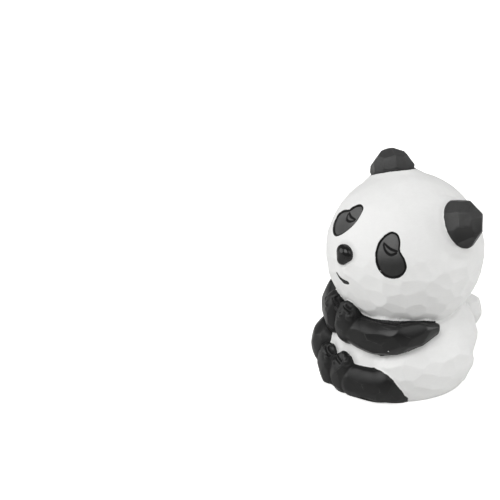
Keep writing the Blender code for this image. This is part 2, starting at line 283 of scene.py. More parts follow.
class Mass:
    """A lump of the carving: ellipsoids in a row, each melting into the next."""

    def __init__(self, name, stations, crease, axes=None, cuts=None):
        self.name = name
        self.crease = crease
        self.cuts = cuts
        self.axes = axes if axes is not None else np.eye(3)
        self.centres = np.array([centre for centre, _ in stations], float)
        self.radii = np.array([np.broadcast_to(radii, 3) for _, radii in stations], float)
        self.low = (self.centres - self.radii.max(1)[:, None]).min(0)
        self.high = (self.centres + self.radii.max(1)[:, None]).max(0)

    def distance(self, points):
        """How far each point lies outside the mass, and FAR where it is farther than that."""
        outside = np.maximum(np.maximum(self.low - points, points - self.high), 0.0)
        near = np.flatnonzero((outside * outside).sum(1) < FAR * FAR)
        result = np.full(len(points), FAR)
        if len(near) == 0:
            return result
        spots = points[near] @ self.axes
        closest = np.full(len(near), FAR)
        for centre, radii in zip(self.centres @ self.axes, self.radii):
            local = (spots - centre) / radii
            reach = np.sqrt((local * local).sum(1))
            slope = np.sqrt(((local / radii) ** 2).sum(1))
            closest = np.minimum(closest, reach * (reach - 1.0) / np.maximum(slope, 1e-6))
        result[near] = closest
        return result


def smooth_line(rows, steps, closed=False):
    """Rows read from a smooth line through the given rows."""
    rows = np.array(rows, float)
    if closed:
        padded = np.vstack((rows[-1:], rows, rows[:2]))
    else:
        padded = np.vstack((2 * rows[0] - rows[1], rows, 2 * rows[-1] - rows[-2]))
    t = np.arange(steps)[:, None] / steps
    line = [
        0.5 * (2 * b + (c - a) * t + (2 * a - 5 * b + 4 * c - d) * t**2 + (3 * b - a - 3 * c + d) * t**3)
        for a, b, c, d in zip(padded, padded[1:], padded[2:], padded[3:])
    ]
    if not closed:
        line.append(rows[-1:])
    return np.vstack(line)


def straight_between(first, last, steps):
    """Stations from one ellipsoid straight to another."""
    share = np.linspace(0.0, 1.0, steps)[:, None]
    start = np.hstack((first[0], np.broadcast_to(first[1], 3)))
    end = np.hstack((last[0], np.broadcast_to(last[1], 3)))
    return [(row[:3], row[3:]) for row in start + share * (end - start)]


def limb(side, stations):
    """The stations of an arm or a leg, on the left for a side of 1 and on the right for -1."""
    rows = []
    for azimuth, reach, height, radius in stations:
        thick = radius * BODY_RADIUS
        middle = around(side * azimuth, reach * BODY_RADIUS, height * BODY_RADIUS)
        rows.append((*middle, LIMB_DEPTH * thick, LIMB_DEPTH * thick, thick))
    return [(row[:3], row[3:]) for row in smooth_line(rows, 11)]


def head_masses():
    muzzle_radius = 0.62 * HEAD_RADIUS
    muzzle_out = HEAD_RADIUS + MUZZLE_REACH - muzzle_radius
    muzzle = HEAD_MIDDLE + HEAD_AXES @ on_head(*MUZZLE_AT) * muzzle_out
    skull = straight_between((HEAD_MIDDLE, HEAD_RADIUS), (muzzle, muzzle_radius), 9)
    masses = [Mass("head", skull, 0.30)]
    for place, reach, cuts in (
        (LEFT_EAR_AT, LEFT_EAR_REACH, LEFT_EAR_CUTS),
        (RIGHT_EAR_AT, RIGHT_EAR_REACH, RIGHT_EAR_CUTS),
    ):
        outward = on_head(*place)
        tilt = lean_to(outward)
        foot = HEAD_MIDDLE + HEAD_AXES @ outward * HEAD_RADIUS
        root_radii = (0.58 * EAR_WIDTH, 0.62 * EAR_THICKNESS, 3.2)
        root_at = foot - 2.0 * HEAD_AXES @ outward
        root = Mass("ear_root", [(root_at, root_radii)], 2.2, HEAD_AXES @ tilt)
        lobe_radii = (0.5 * EAR_WIDTH, 0.5 * EAR_THICKNESS, reach)
        masses.append(root)
        masses.append(Mass("ear", [(foot, lobe_radii)], 0.35, HEAD_AXES @ tilt, cuts))
    front = HEAD_MIDDLE + HEAD_AXES @ on_head(*NOSE_AT) * (HEAD_RADIUS + MUZZLE_REACH)
    half, depth = 0.5 * NOSE_WIDTH, NOSE_REACH
    upper = (front + HEAD_AXES @ (0.0, 0.0, 0.28 * half), (1.02 * half, 1.08 * depth, 0.80 * half))
    lower = (front - HEAD_AXES @ (0.0, 0.0, 0.36 * half), (0.58 * half, 0.92 * depth, 0.62 * half))
    masses.append(Mass("nose", straight_between(upper, lower, 6), 0.20, HEAD_AXES))
    return masses


def body_masses():
    belly_radii = (BODY_RADIUS, BODY_RADIUS, BODY_TOP - BODY_MIDDLE)
    belly = (np.array((0.0, BODY_SET_BACK, BODY_MIDDLE)), belly_radii)
    seat_radii = (0.5 * BASE_WIDTH, BASE_RADIUS, 0.55 * BODY_RADIUS)
    seat = (np.array((0.0, BASE_SET_BACK, 0.16 * BODY_RADIUS)), seat_radii)
    neck_radii = (0.76 * BODY_RADIUS, 0.76 * BODY_RADIUS, 0.34 * BODY_RADIUS)
    neck = (np.array((0.0, 0.05 * BODY_RADIUS, BODY_TOP - 0.12 * BODY_RADIUS)), neck_radii)
    tail = (np.array((0.0, TAIL_REACH - TAIL_RADIUS, TAIL_HEIGHT)), TAIL_RADIUS)
    masses = [
        Mass("body", straight_between(belly, seat, 7), 0.30),
        Mass("neck", [neck], 1.0),
        Mass("tail", [tail], 0.6),
    ]
    for side in (1, -1):
        radii = (0.41 * BODY_RADIUS, 0.5 * HAUNCH_LENGTH, 0.50 * BODY_RADIUS)
        across = side * (0.5 * HAUNCH_WIDTH - radii[0])
        thigh = np.array((across, HAUNCH_SET_BACK, HAUNCH_HEIGHT - radii[2]))
        masses.append(Mass("haunch", [(thigh, radii)], 1.6))
    return masses


def paw_frame(azimuth, reach, height):
    """The middle of a paw, and its directions towards the panda's left, outwards and up."""
    a = radians(azimuth)
    directions = np.array(((cos(a), sin(a), 0), (sin(a), -cos(a), 0), (0, 0, 1)))
    return around(azimuth, reach, height), directions


LEFT_HAND = paw_frame(LEFT_HAND_AZIMUTH, HAND_REACH, HAND_HEIGHT)
RIGHT_HAND = paw_frame(RIGHT_HAND_AZIMUTH, HAND_REACH, HAND_HEIGHT)
LEFT_FOOT = paw_frame(LEFT_FOOT_AZIMUTH, FOOT_REACH, 0.43 * FOOT_HEIGHT)
RIGHT_FOOT = paw_frame(RIGHT_FOOT_AZIMUTH, FOOT_REACH, 0.43 * FOOT_HEIGHT)

# Fingertips and toes on a left paw: towards the panda's left, outwards and up from its middle,
# and how thick, all as shares of the paw's width
FINGERTIPS = (
    (-0.043, 0.254, 0.326, 0.138),
    (0.230, 0.154, 0.336, 0.175),
    (-0.40, 0.05, 0.330, 0.125),
)
TOES = (
    (-0.198, 0.155, 0.368, 0.130),
    (0.208, 0.093, 0.498, 0.106),
)


def chest_mass():
    """The chest behind the two hands, which leaves no gap between them and the chin."""
    azimuth = 0.5 * (LEFT_HAND_AZIMUTH + RIGHT_HAND_AZIMUTH)
    place = paw_frame(azimuth, HAND_REACH - 0.5 * HAND_WIDTH, HAND_HEIGHT + 0.05 * HAND_LENGTH)
    radii = (0.62 * HAND_WIDTH, 0.42 * HAND_WIDTH, 0.45 * HAND_LENGTH)
    return Mass("chest", [(place[0], radii)], 0.14, place[1].T)


def limb_masses(side, hand, foot, shin):
    """Arm, leg, hand and foot of one side, with fingertips and toes."""
    hand_radii = (0.5 * HAND_WIDTH, 0.39 * HAND_WIDTH, 0.5 * HAND_LENGTH)
    foot_radii = (0.5 * FOOT_WIDTH, 0.34 * FOOT_WIDTH, 0.5 * FOOT_HEIGHT)
    arm_root = [
        (azimuth, reach - ARM_ROOT, height, ARM_ROOT_THICKNESS * radius)
        for azimuth, reach, height, radius in ARM
    ]
    masses = [
        Mass("arm", limb(side, ARM), 0.20),
        Mass("arm_root", limb(side, arm_root), 0.20),
        Mass("shin", limb(side, shin), 0.20),
        Mass("hand", [(hand[0], hand_radii)], 0.14, hand[1].T),
        Mass("foot", [(foot[0], foot_radii)], 0.14, foot[1].T),
    ]
    for paw, width, digits in ((hand, HAND_WIDTH, FINGERTIPS), (foot, FOOT_WIDTH, TOES)):
        for across, out, up, thick in digits:
            tip = np.array((side * across, out, up))
            knuckle = np.array((0.85 * side * across, out - 0.10, up + 0.08))
            tip, knuckle = (paw[0] + width * spot @ paw[1] for spot in (tip, knuckle))
            digit = straight_between((knuckle, 0.9 * thick * width), (tip, thick * width), 5)
            masses.append(Mass("digit", digit, 0.10))
    return masses


MASSES = (
    body_masses()
    + head_masses()
    + [chest_mass()]
    + limb_masses(1, LEFT_HAND, LEFT_FOOT, LEFT_SHIN)
    + limb_masses(-1, RIGHT_HAND, RIGHT_FOOT, RIGHT_SHIN)
)


def distances(points):
    """One row for each mass: how far each point lies outside it."""
    return np.array([mass.distance(points) for mass in MASSES])


def skin_height(points, least_crease=0.0):
    """How far each point lies outside the whole figure, with the creases rounded."""
    height = np.full(len(points), FAR)
    for mass, row in zip(MASSES, distances(points)):
        height = smooth_lower(height, row, max(mass.crease, least_crease))
    return smooth_upper(height, -points[:, 2], UNDERSIDE_EDGE)


def slope_of(field, points, step=0.02):
    """The direction in which a field grows, from four nearby readings."""
    corners = np.array(((1, 1, 1), (1, -1, -1), (-1, 1, -1), (-1, -1, 1)), float)
    slope = sum(np.outer(field(points + step * corner), corner) for corner in corners)
    return slope / (4.0 * step)


def even_cells(mesh, size):
    """The same shape as a mesh of small even cells."""
    piece = bpy.data.objects.new("even_cells", mesh)
    bpy.context.scene.collection.objects.link(piece)
    remesh = piece.modifiers.new("cells", "REMESH")
    remesh.mode = "VOXEL"
    remesh.voxel_size = size * MM
    bpy.context.view_layer.update()
    skin = bpy.data.meshes.new_from_object(piece.evaluated_get(bpy.context.evaluated_depsgraph_get()))
    bpy.data.objects.remove(piece)
    return skin


def finer_where(mesh, chosen):
    """Splits the cells whose corners are all chosen."""
    cells = bmesh.new()
    cells.from_mesh(mesh)
    edges = [edge for edge in cells.edges if chosen[edge.verts[0].index] and chosen[edge.verts[1].index]]
    bmesh.ops.subdivide_edges(cells, edges=edges, cuts=1, use_grid_fill=True)
    cells.to_mesh(mesh)
    cells.free()


def read_points(mesh):
    flat = np.empty(len(mesh.vertices) * 3)
    mesh.vertices.foreach_get("co", flat)
    return flat.reshape(-1, 3) / MM


def write_points(mesh, points):
    mesh.vertices.foreach_set("co", (points * MM).ravel())
    mesh.update()


def settle(points):
    """Moves each point straight onto the rounded masses."""
    for _ in range(SETTLE_ROUNDS):
        slope = slope_of(skin_height, points)
        steep = np.maximum((slope * slope).sum(1), 0.05)
        move = slope * (skin_height(points) / steep)[:, None]
        length = np.sqrt((move * move).sum(1))[:, None]
        points = points - move * np.minimum(1.0, 0.5 / np.maximum(length, 1e-9))
    return points


def scatter(points, spacing, dice):
    """Picks points at random, none closer to another than the spacing."""
    order = dice.permutation(len(points))[:MOST_TRIED]
    kept = []
    for i in order:
        if not kept or ((points[kept] - points[i]) ** 2).sum(1).min() > spacing * spacing:
            kept.append(i)
    return np.array(kept)


def in_rows(mass, points):
    """Points stretched upwards, so that cuts picked at even distances lie in flat rows."""
    if mass.name == "head":
        return (points - HEAD_MIDDLE) @ HEAD_AXES * (1.0, 1.0, ROW_STRETCH)
    if mass.name in ("body", "neck", "haunch", "arm", "shin"):
        return points * (1.0, 1.0, ROW_STRETCH)
    return points


def cut_places(mass, points, width, dice):
    """Where the cuts of one mass are made, which way each faces, and how deep its scoop is."""
    if mass.cuts:
        local = np.array([on_head(*cut) for cut in mass.cuts])
        centres = mass.centres[0] + (local * mass.radii[0]) @ mass.axes.T
        outward = (local / mass.radii[0]) @ mass.axes.T
        lowered = np.full(len(centres), 0.12)
    else:
        centres = points[scatter(in_rows(mass, points), width, dice)]
        facing = slope_of(mass.distance, centres)
        centres = centres - facing * mass.distance(centres)[:, None]
        outward = facing + dice.normal(0.0, 0.03, centres.shape)
        lowered = dice.uniform(0.0, 0.05, len(centres))
    outward /= np.linalg.norm(outward, axis=1)[:, None]
    scoop = SCOOP * (width / USUAL_CUT) * dice.uniform(0.6, 1.3, len(centres))
    return centres, outward, lowered, scoop


def show_of_cuts(mass, points):
    """How plain the cuts are at each point: the forehead and the back are rubbed nearly smooth."""
    plain = np.full(len(points), CHISEL[mass.name][1])
    if mass.name == "head":
        over_middle = points[:, 2] - HEAD_HEIGHT
        plain *= 1.0 - FOREHEAD_RUBBED * eased(over_middle, FOREHEAD_FROM, FOREHEAD_TO)
    if mass.name in ("body", "haunch", "neck"):
        plain *= 1.0 - BACK_RUBBED * eased(points[:, 2], BACK_FROM, BACK_TO)
    return plain


def chisel_cuts(points, normals, rows):
    """How far each point moves outwards for the scoops of the chisel, and how near it is to a ridge."""
    dice = np.random.default_rng(12)
    order = np.argsort(rows, axis=0)[:2]
    own, runner_up = np.take_along_axis(rows, order, axis=0)
    lift = np.zeros(len(points))
    ridge = np.full(len(points), 2.0)
    for index, mass in enumerate(MASSES):
        mine = np.flatnonzero(order[0] == index)
        width, strength, soft = CHISEL[mass.name]
        if len(mine) < FEWEST_CUT or strength == 0.0:
            continue
        centres, outward, lowered, scoop = cut_places(mass, points[mine], width, dice)
        laid_centres = in_rows(mass, centres)
        few = min(NEIGHBOURS, len(centres))
        half = SCOOP_REACH * width
        for start in range(0, len(mine), BATCH):
            cells = mine[start:start + BATCH]
            spots = points[cells]
            laid = in_rows(mass, spots)
            apart = (
                (laid * laid).sum(1)[:, None]
                + (laid_centres * laid_centres).sum(1)[None]
                - 2.0 * laid @ laid_centres.T
            )
            near = np.argpartition(apart, few - 1, axis=1)[:, :few]
            square = np.maximum(np.take_along_axis(apart, near, axis=1), 0.0)
            along = ((centres[near] - spots[:, None]) * outward[near]).sum(2)
            along = along - lowered[near] - scoop[near] * np.maximum(1.0 - square / half**2, -1.0)
            steepness = np.maximum((outward[near] * normals[cells][:, None]).sum(2), 0.6)
            heights = np.sort(along / steepness, axis=1)
            weights = np.exp(-(heights - heights[:, :1]) / soft)
            lift[cells] = heights[:, 0] - soft * np.log(weights.sum(1)) + own[cells]
            lift[cells] *= show_of_cuts(mass, spots)
            if few > 1:
                ridge[cells] = heights[:, 1] - heights[:, 0]
    lift = np.clip(lift, -MOST_CUT, MOST_CUT)
    return lift * eased(runner_up - own, CUTS_START, CUTS_FULL), ridge


def head_angles(points):
    """Where each point lies on the head, in degrees to the panda's left and up."""
    local = (points - HEAD_MIDDLE) @ HEAD_AXES
    out = np.linalg.norm(local, axis=1)
    side = np.degrees(np.arctan2(local[:, 0], -local[:, 1]))
    up = np.degrees(np.arcsin(np.clip(local[:, 2] / out, -1.0, 1.0)))
    return side, up, out


def loop_distance(spots, loop):
    """Signed distance of flat spots to a loop, negative inside."""
    closest = np.full(len(spots), 1e9)
    inside = np.zeros(len(spots), bool)
    for a, b in zip(loop, np.roll(loop, -1, axis=0)):
        edge = b - a
        share = np.clip(((spots - a) @ edge) / (edge @ edge), 0.0, 1.0)
        closest = np.minimum(closest, ((spots - a - share[:, None] * edge) ** 2).sum(1))
        crosses = (a[1] > spots[:, 1]) != (b[1] > spots[:, 1])
        if abs(edge[1]) > 1e-12:
            inside ^= crosses & (spots[:, 0] < a[0] + (spots[:, 1] - a[1]) * edge[0] / edge[1])
    return np.sqrt(closest) * np.where(inside, -1.0, 1.0)


def face_flat(points, at):
    """Points of the head laid flat round a direction, in millimetres across and up."""
    side, up, _ = head_angles(points)
    scale = HEAD_RADIUS * pi / 180.0
    return np.column_stack(((side - at[0]) * np.cos(np.radians(up)) * scale, (up - at[1]) * scale))


def degrees_to_flat(pairs, at):
    """Degrees across and up round a direction on the head, in the same millimetres."""
    pairs = np.array(pairs, float)
    scale = HEAD_RADIUS * pi / 180.0
    across = pairs[:, 0] * np.cos(np.radians(at[1] + pairs[:, 1])) * scale
    return np.column_stack((across, pairs[:, 1] * scale))


def stroke_distance(points, at, line, mirror=1.0):
    """Distance to a stroke on the head, given in degrees round a direction, negative inside."""
    line = smooth_line(line, 6) * (mirror, 1.0, 1.0)
    places = degrees_to_flat(line[:, :2], at)
    spots = face_flat(points, at)
    closest = np.full(len(spots), FAR)
    for place, half in zip(places, line[:, 2]):
        closest = np.minimum(closest, np.sqrt(((spots - place) ** 2).sum(1)) - half)
    return closest


# The grooves cut on each paw: from and to, in millimetres towards the panda's left and upwards
# from the paw's middle
LEFT_HAND_LINES = (((-0.2, 5.0), (2.3, 4.1)), ((0.4, 5.5), (1.9, 4.9)))
RIGHT_HAND_LINES = (((1.6, 4.7), (3.1, 3.3)), ((1.9, 5.2), (3.1, 4.0)))
LEFT_FOOT_LINES = (((-1.9, 4.7), (0.6, 3.8)), ((-1.3, 5.3), (0.8, 4.5)))
RIGHT_FOOT_LINES = (((-0.3, 5.4), (2.6, 3.8)), ((0.6, 5.7), (2.8, 4.5)))
PAW_LINES = (
    (LEFT_HAND, LEFT_HAND_LINES),
    (RIGHT_HAND, RIGHT_HAND_LINES),
    (LEFT_FOOT, LEFT_FOOT_LINES),
    (RIGHT_FOOT, RIGHT_FOOT_LINES),
)
PAW_LINE_WIDTH = 0.18
PAW_LINE_DEPTH = 0.34
# How far from its middle a paw is engraved, in millimetres
PAW_REACH = 8.0

# The groove along the rim of an eye patch, how far inside the rim it runs, and the groove of a
# lid, how far inside its edge it starts to rise, all in millimetres
RIM_GROOVE_WIDTH = 0.15
RIM_GROOVE_INSET = 0.30
LID_GROOVE_WIDTH = 0.13
LID_GROOVE_INSET = 0.10
GROOVE_DEPTH = 0.24
MOUTH_DEPTH = 0.35

# How widely the painted shade pools round a crease, in millimetres
WIDE_CREASE = 1.6
# How strongly painted sheen lightens the black on the upward-facing tops of the ears, and at least
# on each eye patch, where 1 is lightest; on a patch it grows along a slant, over so many degrees to each
# side of its middle
EAR_SHEEN = 0.30
LEFT_PATCH_SHEEN = 0.15
RIGHT_PATCH_SHEEN = 0.5
PATCH_SHEEN_OVER = 9.0
PATCH_HALF_WIDTH = 22.0
# How glossy the paint is on each mass, from 0 for satin to 1 for varnish
GLOSS = {
    "nose": 1.0,
    "arm": 0.64,
    "shin": 0.5,
    "hand": 0.6,
    "foot": 0.6,
    "digit": 0.6,
    "ear": 0.45,
}
PATCH_GLOSS = 0.35


def paw_grooves(points):
    """How much the short lines on the paws cut at each point, from 0 to 1."""
    cut = np.zeros(len(points))
    for (middle, axes), lines in PAW_LINES:
        near = np.flatnonzero(((points - middle) ** 2).sum(1) < PAW_REACH**2)
        local = (points[near] - middle) @ axes.T
        flat = local[:, (0, 2)]
        for start, end in lines:
            start, run = np.array(start), np.subtract(end, start)
            share = np.clip((flat - start) @ run / (run @ run), 0.0, 1.0)
            away = np.sqrt(((flat - start - share[:, None] * run) ** 2).sum(1))
            groove = np.exp(-((away / PAW_LINE_WIDTH) ** 2))
            cut[near] = np.maximum(cut[near], np.where(local[:, 1] > 0.0, groove, 0.0))
    return cut


# Where each eye is, 1 for the left one and -1 for its mirror, and how wide its patch is drawn
EYES = ((LEFT_EYE_AT, 1.0, 1.0), (RIGHT_EYE_AT, -1.0, RIGHT_PATCH_WIDTH))


def face_lines(points):
    """Signed distances to the eye patches, the lines of the closed eyes and the mouth."""
    patches = np.full(len(points), FAR)
    lids = np.full(len(points), FAR)
    mouth = np.full(len(points), FAR)
    side, up, out = head_angles(points)
    on_face = np.flatnonzero((np.abs(side) < 65.0) & (np.abs(up) < 50.0) & (out > 0.9 * HEAD_RADIUS))
    spots = points[on_face]
    for at, mirror, width in EYES:
        corners = [(mirror * width * across, rise) for across, rise in PATCH]
        loop = degrees_to_flat(smooth_line(corners, 8, closed=True), at)
        patches[on_face] = np.minimum(patches[on_face], loop_distance(face_flat(spots, at), loop))
        for line in (UPPER_LID, LOWER_LID):
            lids[on_face] = np.minimum(lids[on_face], stroke_distance(spots, at, line, mirror))
    mouth[on_face] = stroke_distance(spots, MOUTH_AT, MOUTH)
    return patches, lids, mouth


def face_grooves(patches, lids):
    """How much the lines of the eyes cut at each point, from 0 to 1."""
    rim = np.exp(-(((patches + RIM_GROOVE_INSET) / RIM_GROOVE_WIDTH) ** 2))
    lines = np.exp(-((np.maximum(lids + LID_GROOVE_INSET, 0.0) / LID_GROOVE_WIDTH) ** 2))
    return np.maximum(rim, lines)


def engraved(patches, mouth, face_cuts, paw_cuts):
    """How deep the face and the paws are cut at each point, in millimetres."""
    sunk = PATCH_DEPTH * eased(-patches, 0.0, PATCH_RIM) + MOUTH_DEPTH * eased(-mouth, -0.10, 0.25)
    return sunk + GROOVE_DEPTH * face_cuts + PAW_LINE_DEPTH * paw_cuts


def gap_of(rows, names):
    """The lowest distance to any of the named masses."""
    return np.min([row for mass, row in zip(MASSES, rows) if mass.name in names], axis=0)


def right_leg_end(points, aside):
    """Millimetres from the rounded end of the black on the right leg, negative inside it."""
    past_end = np.minimum(aside + RIGHT_LEG_ROUNDS_FROM, 0.0) / RIGHT_LEG_END_LENGTH
    past_side = (points[:, 2] - RIGHT_LEG_END_HEIGHT) / RIGHT_LEG_END_HALF
    return RIGHT_LEG_END_RADIUS * (np.hypot(past_end, past_side) - 1.0)


def hollow_between_feet(points, aside):
    """Millimetres from the black hollow between the feet, negative inside it."""
    half_way = 0.5 * (LEFT_FOOT_AZIMUTH + RIGHT_FOOT_AZIMUTH)
    beside = (np.abs(aside - half_way) - HOLLOW_HALF_WIDTH) / DEGREES_TO_A_MILLIMETRE
    above = points[:, 2] - HOLLOW_TOP * FOOT_HEIGHT
    behind = HOLLOW_END * FOOT_REACH - np.hypot(points[:, 0], points[:, 1])
    return np.maximum(np.maximum(beside, above), behind)


def paint_edge(points, rows, patches, mouth):
    """Millimetres from the edge of the black paint, negative on the black."""
    whites = gap_of(rows, ("head", "body", "neck", "tail", "haunch", "ear_root"))
    limbs = gap_of(rows, ("arm", "arm_root", "chest", "hand", "digit", "shin", "foot"))
    head = gap_of(rows, ("head", "ear_root"))
    ears = [row for mass, row in zip(MASSES, rows) if mass.name == "ear"]
    nose = gap_of(rows, ("nose",))
    edge = limbs - whites + LIMB_PAINT_GAP
    for ear, start in zip(ears, EAR_PAINT_STARTS):
        edge = np.minimum(edge, np.where(ear < FAR, ear - head + start, FAR))
    edge = np.minimum(edge, np.where(nose < FAR, nose - head + NOSE_PAINT_GAP, FAR))
    aside = np.degrees(np.arctan2(points[:, 0], -points[:, 1]))
    shins = gap_of(rows, ("shin",))
    on_right_shin = (points[:, 0] < 0.0) & (shins < FAR) & (shins < limbs + 1e-6)
    edge = np.where(on_right_shin, np.maximum(edge, right_leg_end(points, aside)), edge)
    edge = np.minimum(edge, hollow_between_feet(points, aside))
    return np.minimum(edge, np.minimum(patches, mouth))


def painted_sheen(points, patches, on_ear, upward):
    """How much painted sheen lightens the black: on ear tops that face upwards and on the upper left of
    the eye patches, where the light falls.
    """
    # Painted sheen: upward-facing ear tops are lightened, as if lit from above
    thin = EAR_SHEEN * on_ear * eased(upward, -0.3, 0.6)
    side, up, _ = head_angles(points)
    for at, faces, _ in EYES:
        # Painted sheen on each eye patch grows towards its upper left, where the light falls
        slant = (up - at[1]) - 0.5 * (side - at[0])
        least = LEFT_PATCH_SHEEN if faces > 0.0 else RIGHT_PATCH_SHEEN
        share = least + (1.0 - least) * eased(slant, -PATCH_SHEEN_OVER, PATCH_SHEEN_OVER)
        here = (np.abs(side - at[0]) < PATCH_HALF_WIDTH) & (patches < 0.0)
        thin[here] = (share * eased(-patches, 0.30, 0.65))[here]
    return thin


def put(mesh, name, values):
    """Stores a value on each point of a mesh, for the paint to read."""
    layer = mesh.attributes.new(name, "FLOAT", "POINT")
    layer.data.foreach_set("value", np.asarray(values, np.float32))


def thinned(mesh):
    """The same skin with fewer triangles, where it is flat."""
    piece = bpy.data.objects.new("thinning", mesh)
    bpy.context.scene.collection.objects.link(piece)
    mesh.calc_loop_triangles()
    share = MOST_TRIANGLES / len(mesh.loop_triangles)
    if share < 1.0:
        thin = piece.modifiers.new("thin", "DECIMATE")
        thin.ratio = share
    bpy.context.view_layer.update()
    result = bpy.data.meshes.new_from_object(piece.evaluated_get(bpy.context.evaluated_depsgraph_get()))
    bpy.data.objects.remove(piece)
    return result


def fine_skin(solid):
    """The solid's skin in small even cells, finer still beside the lines to be engraved."""
    skin = even_cells(solid.data.copy(), FIRST_CELL)
    write_points(skin, settle(read_points(skin)))
    skin = even_cells(skin, CELL)
    points = read_points(skin)
    patches, lids, mouth = face_lines(points)
    near_line = (np.abs(patches) < FINE_REACH) | (lids < FINE_REACH) | (np.abs(mouth) < FINE_REACH)
    finer_where(skin, near_line | (paw_grooves(points) > 0.02))
    return skin


def carve(skin):
    """Cuts the scoops of the chisel and the engraved lines into the settled skin."""
    points = settle(read_points(skin))
    normals = slope_of(skin_height, points)
    normals /= np.linalg.norm(normals, axis=1)[:, None]
    lift, ridge = chisel_cuts(points, normals, distances(points))
    patches, lids, mouth = face_lines(points)
    face_cuts, paw_cuts = face_grooves(patches, lids), paw_grooves(points)
    lift = lift * eased(patches, -0.4, 0.4) - engraved(patches, mouth, face_cuts, paw_cuts)
    off_the_ground = eased(points[:, 2], 0.0, 0.6)
    points = points + normals * (lift * off_the_ground)[:, None]
    points[:, 2] = np.maximum(points[:, 2], 0.0)
    write_points(skin, points)
    put(skin, "ridge", ridge)
    put(skin, "groove", np.maximum(face_cuts, paw_cuts))


def store_looks(skin):
    """Stores on each point what the paint needs to know about its place."""
    points = read_points(skin)
    rows = distances(points)
    patches, lids, mouth = face_lines(points)
    put(skin, "paint_edge", paint_edge(points, rows, patches, mouth))
    nearest = np.argmin(rows, axis=0)
    put(skin, "gloss", np.array([GLOSS.get(mass.name, PATCH_GLOSS) for mass in MASSES])[nearest])
    # How deep in a crease each point lies, for the painted shade there
    slope = slope_of(lambda spots: skin_height(spots, WIDE_CREASE), points)
    steepness = np.linalg.norm(slope, axis=1)
    put(skin, "crease", eased(1.0 - steepness, 0.03, 0.28))
    # Painted sheen on the black of the ear tops and the eye patches
    on_ear = np.array([mass.name == "ear" for mass in MASSES])[nearest]
    put(skin, "painted_sheen", painted_sheen(points, patches, on_ear, slope[:, 2] / steepness))


def carve_panda(solid):
    """The whole figure as one mesh, with what the paint needs stored on its points."""
    skin = fine_skin(solid)
    carve(skin)
    skin = thinned(skin)
    store_looks(skin)
    skin.name = "panda_carving"
    skin.polygons.foreach_set("use_smooth", np.ones(len(skin.polygons), bool))
    piece = bpy.data.objects.new("panda_carving", skin)
    bpy.context.scene.collection.objects.link(piece)
    return piece


class NodeBoard:
    """Adds shader nodes to a tree and wires them up."""

    def __init__(self, tree):
        self.tree = tree

    def add(self, kind, settings=None, **inputs):
        """A node with its settings, each input being a number or another node's output."""
        node = self.tree.nodes.new(kind)
        for name, value in (settings or {}).items():
            setattr(node, name, value)
        for name, value in inputs.items():
            name = name.replace("_", " ")
            socket = node.inputs[int(name[3:]) if name.startswith("in ") else name]
            if isinstance(value, bpy.types.NodeSocket):
                self.tree.links.new(value, socket)
            else:
                socket.default_value = value
        return node

    def math(self, operation, first, second=0.0, third=0.0):
        settings = {"operation": operation}
        return self.add("ShaderNodeMath", settings, in_0=first, in_1=second, in_2=third).outputs[0]

    def ramp(self, value, start, end, low=0.0, high=1.0):
        """A value brought from one range to another, smoothly and no further."""
        node = self.add(
            "ShaderNodeMapRange", {"interpolation_type": "SMOOTHSTEP"},
            Value=value, From_Min=start, From_Max=end, To_Min=low, To_Max=high,
        )
        return node.outputs["Result"]

    def mix(self, share, first, second):
        node = self.add("ShaderNodeMix", {"data_type": "RGBA"})
        for index, value in ((0, share), (6, first), (7, second)):
            if isinstance(value, bpy.types.NodeSocket):
                self.tree.links.new(value, node.inputs[index])
            else:
                node.inputs[index].default_value = value
        return node.outputs[2]

    def noise(self, place, scale, detail=2.0, roughness=0.5):
        node = self.add(
            "ShaderNodeTexNoise", Vector=place, Scale=scale, Detail=detail, Roughness=roughness
        )
        return node.outputs["Fac"]


def new_group(name, takes, gives):
    """An empty group of nodes, and the board to fill it on."""
    group = bpy.data.node_groups.new(name, "ShaderNodeTree")
    for label, kind in takes:
        group.interface.new_socket(label, in_out="INPUT", socket_type=kind)
    for label, kind in gives:
        group.interface.new_socket(label, in_out="OUTPUT", socket_type=kind)
    board = NodeBoard(group)
    return group, board, board.add("NodeGroupInput").outputs, board.add("NodeGroupOutput")


def hand_painted_edge():
    """Turns the distance from the edge of the black paint into a mask with a hand's wobble."""
    group, board, given, result = new_group(
        "hand_painted_edge",
        (("Place", "NodeSocketVector"), ("Distance", "NodeSocketFloat")),
        (("Black", "NodeSocketFloat"),),
    )
    wave = board.math("MULTIPLY_ADD", board.noise(given["Place"], 620.0), 0.34, -0.17)
    bristle = board.math("MULTIPLY_ADD", board.noise(given["Place"], 2600.0), 0.12, -0.06)
    moved = board.math("ADD", given["Distance"], board.math("ADD", wave, bristle))
    group.links.new(board.ramp(moved, 0.05, -0.05), result.inputs["Black"])
    return group


def chisel_grain():
    """Fine marks along the chisel's path, and the slight unevenness of brushed paint."""
    group, board, given, result = new_group(
        "chisel_grain",
        (("Place", "NodeSocketVector"),),
        (("Height", "NodeSocketFloat"), ("Tone", "NodeSocketFloat")),
    )
    along = board.add("ShaderNodeMapping", Vector=given["Place"], Scale=(1.0, 1.0, 2.6)).outputs[0]
    streaks = board.noise(along, 900.0, 3.0, 0.6)
    pores = board.noise(given["Place"], 5200.0, 1.0)
    height = board.math("MULTIPLY_ADD", pores, 0.25, board.math("MULTIPLY", streaks, 0.75))
    group.links.new(height, result.inputs["Height"])
    cloud = board.noise(given["Place"], 160.0, 3.0, 0.6)
    tone = board.math("MULTIPLY_ADD", streaks, 0.4, board.math("MULTIPLY", cloud, 0.6))
    group.links.new(tone, result.inputs["Tone"])
    return group


